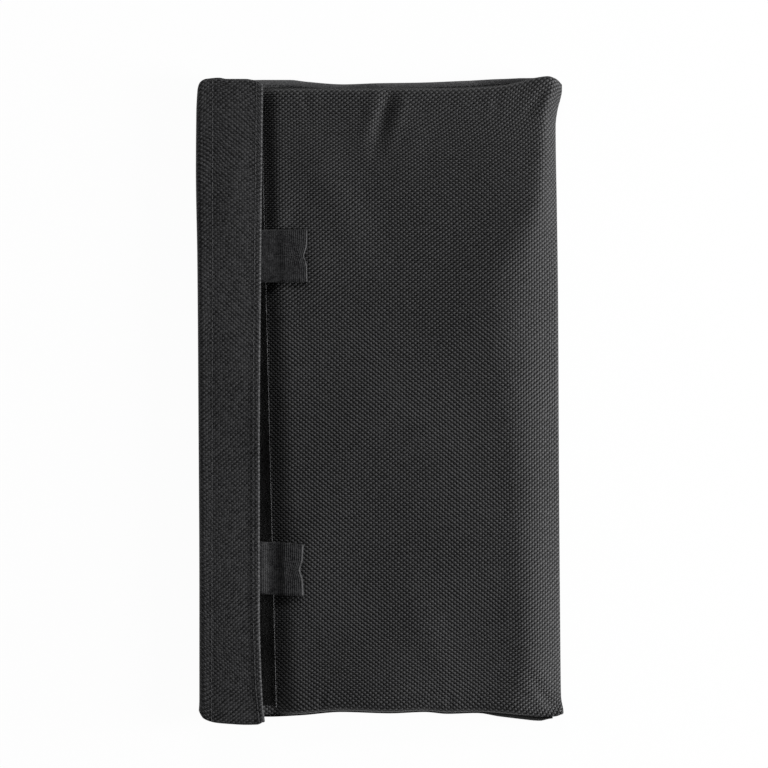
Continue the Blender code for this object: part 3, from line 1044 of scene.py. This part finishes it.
@dataclass
class PocketLiner:
    """Glass-cloth lining that hugs the inside of the pouch."""

    pouch: PouchCloth
    thickness: float = 0.5
    clear: float = 0.9
    start: float = -77.0
    rolled_rows: int = 6
    level_row: int = 5
    column_step: int = 2

    def dress(self) -> None:
        """Make the liner from the pouch's own surface, set in by its clearance."""
        pouch = self.pouch
        inner = pouch.surface - self.clear * sheet_normals(pouch.surface)
        margin = pouch.side_rows - self.rolled_rows
        first = pouch.hem_columns + int(np.argmax(pouch.front()[0, :, 0] > self.start))
        inside = pouch.surface[pouch.side_rows + self.level_row, :, 0] > self.start
        last = int(np.nonzero(inside)[0][-1])
        surface = inner[margin : len(inner) - margin, first : last + 1 : self.column_step]
        sheet = Sheet("glass_liner", ("pouch_liner",), "liner_cloth", "folded", "pouch_canvas")
        piece = sheet.make(surface, self.thickness, GLASS_CLOTH.material())
        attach(piece, Body.BAG.value)


@dataclass
class SideBindings:
    """Bias tape folded over the two side seams: flat along the upper one, hanging under the lower one."""

    pouch: PouchCloth
    thickness: float = 0.5
    columns: int = 96
    fold_steps: int = 22
    start: float = -83.0
    upper_stop: float = 77.0
    lower_stop: float = 84.5
    upper_fold: Knots = (
        (151, 4.5), (153.2, 4.5), (154.6, 4.45), (155.45, 3.9), (155.5, 3.1), (155, 2.2), (153.4, 1.85),
        (151, 1.85),
    )
    lower_fold: Knots = (
        (-152.9, 6.6), (-153.15, 5), (-153.15, 3.2), (-152.8, 1.6), (-151.9, 1.05), (-150.8, 1.3),
        (-150.2, 2.6), (-150.1, 4.3),
    )
    end_lift: Knots = ((44, 0), (59, 0.35), (70, 1.2), (77, 2.3))
    end_drop: float = 0.9
    end_span: Span = (52.0, 80.0)
    upper_wave: float = 0.25
    upper_wave_length: float = 9.0
    flare_start: float = 48.0
    flare_line: Knots = ((48, 0), (60, 1.9), (72, 2.1), (79, 1.8), (82, 0.8), (84.5, 0))
    hang_top: float = 6.4
    hang_depth: float = 5.2
    lower_wave: float = 0.12
    lower_wave_length: float = 7.0
    thread_row: int = 4
    thread_inset: int = 2

    def upper_surface(self) -> np.ndarray:
        """Middle surface of the upper tape: rows round its fold, columns along the seam."""
        x = np.linspace(self.start, self.upper_stop, self.columns)
        section = along_path(self.upper_fold, self.fold_steps)
        line = smooth_line(self.pouch.seam_line, x) + smooth_line(self.end_lift, x)
        y = section[:, :1] + line
        z = section[:, 1:] - self.end_drop * smooth_step(*self.end_span, x)
        return grid_of(x, y, z - self.upper_wave * np.sin(x / self.upper_wave_length))

    def lower_surface(self) -> np.ndarray:
        """Middle surface of the lower tape, which flares out near the fold."""
        x = np.linspace(self.start, self.lower_stop, self.columns)
        section = along_path(self.lower_fold, self.fold_steps)
        hang = np.clip((self.hang_top - section[:, 1:]) / self.hang_depth, 0.0, 1.0)
        flare = np.where(x < self.flare_start, 0.0, smooth_line(self.flare_line, x))
        y = section[:, :1] + smooth_line(self.pouch.lower_line, x) - hang * flare
        return grid_of(x, y, section[:, 1:] + self.lower_wave * np.sin(x / self.lower_wave_length) * hang)

    def dress(self, sewing: Sewing) -> None:
        """Make both tapes and the row of stitches that shows on the upper one."""
        upper, lower = self.upper_surface(), self.lower_surface()
        # the lower tape takes the darkened copy, whose colour is painted shade
        for side, surface, tape in (("upper", upper[::-1], BIAS_TAPE), ("lower", lower, SHADED_BIAS_TAPE)):
            nodes = ("side_binding_" + side,)
            sheet = Sheet(side + "_binding_tape", nodes, "binding_tape", "folded", "pouch_canvas")
            piece = sheet.make(surface, self.thickness, tape.material())
            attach(piece, Body.BAG.value)
        row = upper[self.thread_row] + (0.0, 0.0, self.thickness / 2.0)
        sewing.sew("upper_binding_thread", [row[self.thread_inset : -self.thread_inset]], Body.BAG)


@dataclass
class Closure:
    """Loop tape on the front and hook tape under the flap."""

    pouch: PouchCloth
    sewing: Sewing
    tape: float = 0.35
    width: float = 25.0
    columns: int = 15
    hook_rows: int = 120
    tape_end: float = 150.0
    pile_end: float = 148.5
    gap: float = 0.05
    loop_spacing: float = 1.12
    loop_margin: float = 0.1
    column_room: float = 1.001
    loop: Filament = Filament((-0.45, 0.0, -0.1), (0.1, 0.15, 1.7), (0.45, 0.0, -0.1), 0.13)
    hook_spacing: float = 1.55
    hook_margin: float = 2.0
    hook: Filament = Filament((0.0, 0.0, -0.1), (0.05, 0.0, 1.785), (0.6, 0.0, 0.425), 0.12)
    seed: int = 11
    tufts: Tree = field(default_factory=tuft_tree)

    def loop_tape(self) -> None:
        """Lay the loop tape a little askew, as it is sewn, with its pile and its two pale selvages."""
        along = self.pouch.front()[:, 0, 1]
        rows = slice(int(np.argmax(along > -self.tape_end)), int(np.argmax(along > self.tape_end)))
        middle = self.pouch.tape_edge - self.width / 2.0
        reach = np.linspace(-self.width / 2.0, self.width / 2.0, self.columns)
        x = middle + self.pouch.tape_skew * along[:, None] + reach[None, :]
        clear = (self.pouch.thickness + self.tape) / 2.0 + self.gap
        surface = self.pouch.lay_strip(x, rows, clear)
        sheet = Sheet("loop_ground_tape", ("loop_tape",), "loop_tape", "laid", "pouch_canvas")
        piece = sheet.make(surface, self.tape, LOOP_GROUND.material())
        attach(piece, Body.BAG.value)
        sizes = self.loop.sizes(Facing.UP, LOOP_NYLON.material())
        sizes |= {"Turn": 2.0 * math.pi, "Least Size": 0.65}
        self.stand("loop_pile", self.loop_points(surface, middle), sizes, Body.BAG)
        edges = [surface[:, i] + (0.0, 0.0, self.tape / 2.0) for i in (0, -1)]
        selvage = replace(self.sewing, pitch=2.5, stitch=2.5, slant=0.02, thread=SELVAGE.material())
        selvage.sew("loop_tape_thread", edges, Body.BAG)

    def loop_points(self, surface: np.ndarray, middle: float) -> np.ndarray:
        """Scatter the feet of the loops over the tape.

        Args:
            surface: Middle surface of the ground tape.
            middle: Place of the tape's middle line across the pouch, halfway along the mouth.

        Returns:
            Points on the tape's upper side.
        """
        chance = np.random.default_rng(self.seed)
        half = self.width / 2.0 - self.loop_margin
        places = np.arange(-half, half, self.loop_spacing)
        lines = np.arange(-self.pile_end, self.pile_end, self.loop_spacing)
        reach, along = np.meshgrid(places, lines)
        reach = reach + chance.uniform(-0.5, 0.5, reach.shape) * self.loop_spacing
        along = along + chance.uniform(-0.5, 0.5, along.shape) * self.loop_spacing
        x = middle + self.pouch.tape_skew * along + reach
        levels = np.stack([np.interp(along, line[:, 1], line[:, 2]) for line in surface.swapaxes(0, 1)])
        column = np.clip((reach / self.width + 0.5) * (len(levels) - 1), 0.0, len(levels) - self.column_room)
        left = column.astype(int)[None]
        share = column - left[0]
        near, far = (np.take_along_axis(levels, place, 0)[0] for place in (left, left + 1))
        z = near * (1.0 - share) + far * share + self.tape / 2.0
        return grid_of(x, along, z).reshape(-1, 3)

    def hook_tape(self) -> None:
        """Hang the hook tape under the flap, with its hooks and two rows of stitches."""
        low, high = packed_box("hook_tape")
        x = np.linspace(low[0], high[0], self.columns)
        y = np.linspace(low[1], high[1], self.hook_rows)
        level = high[2] - self.tape / 2.0
        surface = grid_of(x, y[:, None], level)
        sheet = Sheet("hook_ground_tape", ("hook_tape",), "hook_tape", "laid", "flap_lining")
        piece = sheet.make(surface, self.tape, GROUND_TAPE.material())
        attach(piece, Body.FLAP.value)
        across, along = (
            np.arange(low[axis] + self.hook_margin, high[axis] - self.hook_margin, self.hook_spacing)
            for axis in (0, 1)
        )
        feet = grid_of(across, along[:, None], level - self.tape / 2.0).reshape(-1, 3)
        sizes = self.hook.sizes(Facing.DOWN, HOOK_NYLON.material())
        sizes |= {"Turn": 0.5, "Least Size": 0.9}
        self.stand("hook_filaments", feet, sizes, Body.FLAP)
        edges = [surface[:, i] - (0.0, 0.0, self.tape / 2.0) for i in (1, -2)]
        self.sewing.sew("hook_tape_thread", edges, Body.FLAP, Facing.DOWN)

    def stand(self, name: str, feet: np.ndarray, sizes: dict, body: Body) -> None:
        """Stand loops or hooks on a tape and let them ride with it.

        Args:
            name: Name of the piece.
            feet: Points on the tape.
            sizes: Values of the tree's inputs, apart from the seed.
            body: Body that carries the tape.
        """
        host = mesh_piece(name + "_feet", feet, [])
        piece = grown_piece(name, host, self.tufts, {**sizes, "Seed": self.seed})
        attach(piece, body.value)


@dataclass
class FlapCloth:
    """Flap: upper half of the spine, panel, free edge turned under into a hem, and the lining below.

    The ends give Y over the distance from the flap's left edge, and the free line gives X over Y.
    """

    pouch: PouchCloth
    thickness: float = 0.9
    top_room: float = 0.1
    crease_radius: float = 2.2
    edge_radius: float = 0.75
    hem: float = 9.0
    wall_steps: int = 3
    crease_steps: int = 11
    panel_steps: int = 40
    edge_steps: int = 9
    hem_steps: int = 9
    upper_end: Knots = (
        (0, 153.4), (1.5, 155), (3.5, 155.9), (10, 156.5), (14, 155.9), (23, 155.9), (27, 155.3),
        (29.5, 154.4), (31, 152.8),
    )
    lower_end: Knots = (
        (0, -152.8), (2, -155), (5, -156.4), (8, -157.1), (15, -157.7), (23, -158.1), (28, -158),
        (30.5, -157), (32, -155.2),
    )
    free_line: Knots = (
        (-158, -55.4), (-137, -57.3), (-98, -58.5), (-20, -58.5), (49, -58), (97, -57.5), (150, -56.9)
    )
    # rows of stitches, and the panel's puff between them
    row_setback: float = 3.4
    row_points: int = 160
    row_lift: float = 0.05
    inner_row: float = -81.8
    inner_wander: Knots = ((-160, -0.3), (0, 0), (160, 0.2))
    inner_ends: Span = (-155.5, 154.5)
    outer_ends: Span = (-156.0, 154.0)
    puff: float = 0.3
    puff_wave: float = 0.08
    puff_wave_length: float = 13.0
    inner_dip: Span = (0.1, 1.2)
    outer_dip: Span = (0.12, 1.0)
    hem_lift: Span = (0.2, 0.35)
    hem_lift_span: Span = (60.0, -60.0)
    hem_edge_span: Span = (-6.4, -2.6)
    lining: float = 0.6
    lining_inset: float = 0.5
    lining_stop: float = -67.6
    lining_drop: float = 0.65
    lining_setback: float = 2.5
    lining_columns: int = 12
    lining_rows: int = 120

    def __post_init__(self) -> None:
        """Take the flap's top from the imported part, and shape the sheet."""
        self.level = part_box("flap_cloth")[1][2] / MM - self.top_room - self.thickness / 2.0
        self.surface = self.shape()

    def panel_lift(self, x: np.ndarray, y: np.ndarray) -> np.ndarray:
        """Rise and fall of the panel between its two rows of stitches."""
        outer = smooth_line(self.free_line, y) - self.row_setback
        inner = np.full_like(x, self.inner_row)
        swell = np.sin(np.pi * np.clip((x - inner) / (outer - inner), 0.0, 1.0))
        puff = self.puff * swell + self.puff_wave * np.sin(y / self.puff_wave_length) * swell
        rows = ((inner, self.inner_dip), (outer, self.outer_dip))
        dips = sum(depth * bell((x - row) / width) for row, (depth, width) in rows)
        low, growth = self.hem_lift
        hem = low + growth * smooth_step(*self.hem_lift_span, y)
        return puff - dips + hem * smooth_step(*self.hem_edge_span, x - outer - self.row_setback)

    def shape(self) -> np.ndarray:
        """Lay the flap's middle surface, row by row.

        Returns:
            Grid of points: rows run along Y, columns from the middle of the spine to the hem's inner edge.
        """
        share, left, spine_y = self.pouch.row_share, self.pouch.left, self.pouch.spine_y
        start = left + self.crease_radius
        foot = self.level - self.crease_radius
        rise = np.linspace(self.pouch.spine_middle, foot, self.wall_steps)[None, :-1]
        turn = np.linspace(math.pi, math.pi / 2.0, self.crease_steps)[None, :]
        x = np.concatenate([left + 0.0 * rise, start + self.crease_radius * np.cos(turn)], axis=1)
        z = np.concatenate([rise, foot + self.crease_radius * np.sin(turn)], axis=1)
        swell = smooth_step(foot, self.level, z)
        crease_part = grid_of(x, spine_y * (1.0 - swell) + self.end_at(x - left, share) * swell, z)

        across = np.linspace(0.0, 1.0, self.panel_steps)[None, 1:]
        edge = smooth_line(self.free_line, spine_y) - self.edge_radius - self.thickness / 2.0
        x = start + (edge - start) * across
        y = self.end_at(x - left, share)
        z = self.level + self.panel_lift(x, y)
        panel_part = grid_of(x, y, z)

        turn = np.linspace(0.0, math.pi, self.edge_steps)[None, 1:]
        inward = np.linspace(0.0, self.hem, self.hem_steps)[None, 1:]
        x = np.concatenate([edge + self.edge_radius * np.sin(turn), edge - inward], axis=1)
        under = z[:, -1:] - self.edge_radius * (1.0 - np.cos(turn))
        z = np.concatenate([under, np.repeat(under[:, -1:], inward.shape[1], axis=1)], axis=1)
        return np.concatenate([crease_part, panel_part, grid_of(x, y[:, -1:], z)], axis=1)

    def end_at(self, inset: np.ndarray, share: np.ndarray) -> np.ndarray:
        """Place along Y of each row, which the flap's two ends stretch or squeeze.

        Args:
            inset: Distance from the flap's left edge.
            share: Row's place, from -1 at the lower end to 1 at the upper.

        Returns:
            Places along Y.
        """
        upper, lower = smooth_line(self.upper_end, inset), smooth_line(self.lower_end, inset)
        return np.where(share > 0.0, share * upper, -share * lower)

    def row_on_top(self, x_of: Knots, ends: Span) -> np.ndarray:
        """Follow the panel's top along a row of stitches.

        Args:
            x_of: Line of the row, as places along Y and X there.
            ends: Where the row starts and ends along Y.

        Returns:
            Points on the panel's upper side.
        """
        y = np.linspace(*ends, self.row_points)
        x = smooth_line(x_of, y)
        z = self.level + self.panel_lift(x, y) + self.thickness / 2.0 + self.row_lift
        return np.stack([x, y, z], axis=1)

    def dress(self, sewing: Sewing) -> None:
        """Make the flap's canvas, its lining and its two rows of stitches."""
        sheet = Sheet("flap_canvas", ("flap_cloth", "flap_spine"), "woven_cloth", "folded", "flap_lining")
        piece = sheet.make(self.surface, self.thickness, FLAP_CANVAS.material())
        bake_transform(piece)
        self.dress_lining()
        outer = [(y, x - self.row_setback) for y, x in self.free_line]
        inner = [(y, self.inner_row + aside) for y, aside in self.inner_wander]
        rows = [self.row_on_top(inner, self.inner_ends), self.row_on_top(outer, self.outer_ends)]
        sewing.sew("flap_thread", rows, Body.FLAP)

    def dress_lining(self) -> None:
        """Make the second layer under the panel, between the crease and the hem."""
        low, high = packed_box("flap_facing")
        x = np.linspace(low[0] + self.lining_inset, self.lining_stop, self.lining_columns)
        share = np.linspace(-1.0, 1.0, self.lining_rows)[:, None]
        y = self.end_at(x - low[0], share) - self.lining_setback * share
        surface = grid_of(x, y, high[2] - self.lining_drop)
        sheet = Sheet("flap_lining", ("flap_facing",), "facing_cloth", "laid", "flap_canvas")
        piece = sheet.make(surface, self.lining, FACING_NYLON.material())
        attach(piece, Body.FLAP.value)


@dataclass
class PullTab:
    """Doubled grosgrain ribbon: sewn into the flap's hem, folded at its free end, tacked down its middle.

    Its two layers leave the hem by places of x, z and the share of the dip that they take.
    """

    name: str
    body: Body
    root_node: str
    tab_node: str
    tilt: float
    dip: float
    thickness: float = 0.5
    fold_radius: float = 0.75
    tip_reach: float = 1.6
    rest: float = 11.4
    hem_place: float = -60.0
    root_levels: Span = (12.4, 11.8)
    upper_way: Sequence[Place] = (
        (-59.5, 12.35, 0), (-58.3, 12.3, 0), (-53.2, 12.35, 1), (-50.5, 12.4, 0.9)
    )
    lower_way: Sequence[Place] = ((-51, 11.45, 0.9), (-54, 11.5, 0.9), (-57.5, 11.6, 0), (-60, 11.7, 0))
    arch_start: float = -46.0
    arch_setback: float = 3.0
    arch_rise: float = 0.1
    arch_peak: float = 0.15
    rib_pitch: float = 0.98
    rib_height: float = 0.045
    rib_points: int = 8
    bend_steps: int = 14
    rows: int = 27
    # the tip is drawn in at its middle and out at its corners, and the tack pinches the layers
    notch: float = 1.3
    notch_width: float = 0.16
    notch_power: int = 3
    corner: float = 0.35
    tack_width: float = 0.08
    tack_start: Span = (-56.0, -52.0)
    tack_stop: Span = (5.0, 2.0)
    tack_pinch: Span = (0.45, -0.1)
    selvage: Span = (0.93, 0.98)
    thread_start: float = -53.5
    thread_stop: float = 4.5
    thread_lift: float = 0.1

    def __post_init__(self) -> None:
        """Take the tab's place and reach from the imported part."""
        low, high = packed_box(self.tab_node)
        self.centre = (low[1] + high[1]) / 2.0
        self.half = (high[1] - low[1]) / 2.0
        self.tip = high[0] + self.tip_reach
        self.root = packed_box(self.root_node)[0][0]
        self.surface = self.shape()

    def side_path(self, fold: float) -> tuple[np.ndarray, int]:
        """Follow the ribbon from the side: out of the hem, over the fold and back.

        Args:
            fold: Place where the ribbon starts to turn at its free end.

        Returns:
            Points (x, z) along the ribbon, and how many of them lie on its upper layer.
        """
        rest, radius = self.rest, self.fold_radius
        high = rest + 2.0 * radius
        upper_way, lower_way = (
            [(x, z - share * self.dip) for x, z, share in way] for way in (self.upper_way, self.lower_way)
        )
        crest = [(self.arch_start, high + self.arch_rise), (fold - self.arch_setback, high + self.arch_peak)]
        upper = [(self.root, self.root_levels[0]), *upper_way, *crest, (fold, high)]
        under = [(fold, rest), (self.arch_start, rest - self.arch_rise)]
        lower = [*under, *lower_way, (self.root, self.root_levels[1])]
        steps = int(round((fold - self.root) / self.rib_pitch * self.rib_points))
        turn = np.linspace(math.pi / 2.0, -math.pi / 2.0, self.bend_steps)[1:-1]
        bend = np.stack([fold + radius * np.cos(turn), rest + radius + radius * np.sin(turn)], axis=1)
        return np.concatenate([along_path(upper, steps), bend, along_path(lower, steps)]), steps

    def shape(self) -> np.ndarray:
        """Lay the ribbon out along the flap's hem, over the fold and back.

        Returns:
            Grid of points: rows run across the ribbon, columns along it.
        """
        fold = self.tip - self.fold_radius - self.thickness / 2.0
        path, steps = self.side_path(fold)
        across = np.linspace(-1.0, 1.0, self.rows)
        aside = across[:, None]
        walked = run_length(path)
        reach = smooth_step(self.hem_place, fold, path[:, 0])[None, :] ** self.notch_power
        x, z = path.T[:, None]
        x = x - self.notch * bell(aside / self.notch_width) * reach
        x = x + self.corner * aside**2 * reach
        inside, outside = self.tack_stop
        tacked = smooth_step(*self.tack_start, x) - smooth_step(fold - inside, fold - outside, x)
        top = (walked < walked[steps])[None, :]
        z = z - np.where(top, *self.tack_pinch) * (bell(aside / self.tack_width) * tacked)
        y = self.half * aside + self.centre + (x - self.hem_place) * math.tan(math.radians(self.tilt))
        surface = grid_of(x, y, z)
        self.cut = np.stack(np.meshgrid(walked, self.half * (across + 1.0)), axis=2)
        self.top_columns = steps
        ribs = self.rib_height * np.cos(2.0 * math.pi * walked / self.rib_pitch)[None, :, None]
        body = (1.0 - smooth_step(*self.selvage, np.abs(across)))[:, None, None]
        return surface + ribs * body * sheet_normals(surface)

    def dress(self, sewing: Sewing, ribbon: Material) -> None:
        """Make the ribbon and its tacking stitches.

        Args:
            sewing: Thread for the tack.
            ribbon: Material of the ribbon.
        """
        nodes = (self.root_node, self.tab_node)
        sheet = Sheet(self.name + "_ribbon", nodes, "ribbon", "folded", "flap_canvas")
        piece = sheet.make(self.surface, self.thickness, ribbon, self.cut)
        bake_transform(piece)
        line = self.surface[self.rows // 2, : self.top_columns]
        kept = (line[:, 0] > self.thread_start) & (line[:, 0] < self.tip - self.thread_stop)
        tack = line[kept] + (0.0, 0.0, self.thickness / 2.0 + self.thread_lift)
        sewing.sew(self.name + "_thread", [tack], self.body)


@dataclass(frozen=True)
class Softbox:
    """A soft lamp: its place in millimetres, its width and height in metres, and its power in watts."""

    name: str
    place: Place
    size: Span
    power: float

    def hang(self) -> None:
        """Add the lamp, turned to the pouch."""
        data = bpy.data.lights.new(self.name, "AREA")
        data.shape = "RECTANGLE"
        data.size, data.size_y = self.size
        data.energy = self.power
        lamp = bpy.data.objects.new(self.name, data)
        lamp.location = np.array(self.place) * MM
        lamp.rotation_mode = "QUATERNION"
        lamp.rotation_quaternion = (-lamp.location).to_track_quat("-Z", "Y")
        bpy.context.scene.collection.objects.link(lamp)


@dataclass
class Studio:
    """Pale floor, soft light and the camera of the photograph, straight above the pouch."""

    view_width: float = 375.2
    view_centre: Span = (1.95, 7.6)
    view_plane: float = 10.0
    distance: float = 1500.0
    sensor: float = 36.0
    floor_reach: float = 6000.0
    floor_level: float = -0.3
    paper: str = "#9c9c9c"
    white: str = "#ffffff"
    glow: float = 1.05
    glow_share: float = 0.92
    # walls are bright up to the first height, and the ceiling is dim from the second on
    wall_heights: Span = (0.15, 0.6)
    wall_light: Span = (0.7, 0.06)
    # the low strip along the bottom fold is the key, and the softbox past the upper seam only fills
    lamps: tuple[Softbox, ...] = (
        Softbox("far_side_softbox", (-100.0, 1500.0, 900.0), (0.5, 0.5), 12.0),
        Softbox("fold_side_strip", (1400.0, -80.0, 380.0), (0.5, 1.0), 54.0),
    )

    def floor(self) -> None:
        """Lay a white floor that keeps the pouch's shadow."""
        reach, level = self.floor_reach, self.floor_level
        turns = ((-1, -1), (1, -1), (1, 1), (-1, 1))
        corners = np.array([(x * reach, y * reach, level) for x, y in turns])
        piece = mesh_piece("studio_floor", corners, [(0, 1, 2, 3)])
        made = bpy.data.materials.new("white_paper_floor")
        made.use_nodes = True
        tree = made.node_tree
        tree.nodes.clear()
        paper = add_node(tree, "ShaderNodeBsdfDiffuse", {"Color": hex_linear(self.paper)})
        glow = add_node(tree, "ShaderNodeEmission", {"Color": hex_linear(self.white), "Strength": self.glow})
        seen = self.seen_directly(tree)
        part = work_out(tree, "MULTIPLY", seen, self.glow_share)
        both = add_node(tree, "ShaderNodeMixShader", {0: part, 1: paper, 2: glow})
        add_node(tree, "ShaderNodeOutputMaterial", {0: both})
        piece.data.materials.append(made)

    @staticmethod
    def seen_directly(tree: Tree) -> Node:
        """Share that is 1 for rays from the camera, a reflection or glass, and 0 for light on the pouch."""
        path = add_node(tree, "ShaderNodeLightPath").outputs
        mirror = work_out(tree, "MAXIMUM", path["Is Camera Ray"], path["Is Glossy Ray"])
        return work_out(tree, "MAXIMUM", mirror, path["Is Transmission Ray"])

    def world(self) -> None:
        """Fill the room with even light: white walls under a dimmer ceiling."""
        world = bpy.data.worlds.new("white_room")
        world.use_nodes = True
        tree = world.node_tree
        tree.nodes.clear()
        way = add_node(tree, "ShaderNodeTexCoord").outputs["Generated"]
        height = add_node(tree, "ShaderNodeSeparateXYZ", {0: way}).outputs["Z"]
        (low, high), (wall, ceiling) = self.wall_heights, self.wall_light
        strength = add_node(tree, "ShaderNodeMapRange", {0: height, 1: low, 2: high, 3: wall, 4: ceiling})
        feeds = {"Color": hex_linear(self.white), "Strength": strength}
        light = add_node(tree, "ShaderNodeBackground", feeds)
        add_node(tree, "ShaderNodeOutputWorld", {0: light})
        bpy.context.scene.world = world

    def camera(self) -> None:
        """Set the camera above the pouch, with the photograph's framing."""
        data = bpy.data.cameras.new("photo_camera")
        data.sensor_width = self.sensor
        data.angle = 2.0 * math.atan(self.view_width / 2.0 / self.distance)
        camera = bpy.data.objects.new("photo_camera", data)
        camera.location = np.array((*self.view_centre, self.view_plane + self.distance)) * MM
        bpy.context.scene.collection.objects.link(camera)
        bpy.context.scene.camera = camera

    def set_up(self) -> None:
        """Make the floor, the light and the camera, and show colours as they are written."""
        self.floor()
        for lamp in self.lamps:
            lamp.hang()
        self.world()
        self.camera()
        bpy.context.scene.view_settings.view_transform = "Standard"


def main() -> None:
    """Dress the pouch and light it."""
    logging.basicConfig(level=logging.INFO, format="%(message)s")
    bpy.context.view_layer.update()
    Studio().set_up()
    sewing = Sewing()
    pouch = PouchCloth()
    pouch.dress()
    PocketLiner(pouch).dress()
    SideBindings(pouch).dress(sewing)
    closure = Closure(pouch, sewing)
    closure.loop_tape()
    closure.hook_tape()
    FlapCloth(pouch).dress(sewing)
    ribbon = GROSGRAIN.material()
    PullTab("upper_tab", Body.UPPER_TAB, "upper_tab_root", "upper_pull_tab", 0.5, 0.0).dress(sewing, ribbon)
    PullTab("lower_tab", Body.LOWER_TAB, "lower_tab_root", "lower_pull_tab", -3.0, 1.0).dress(sewing, ribbon)


if __name__ == "__main__":
    main()
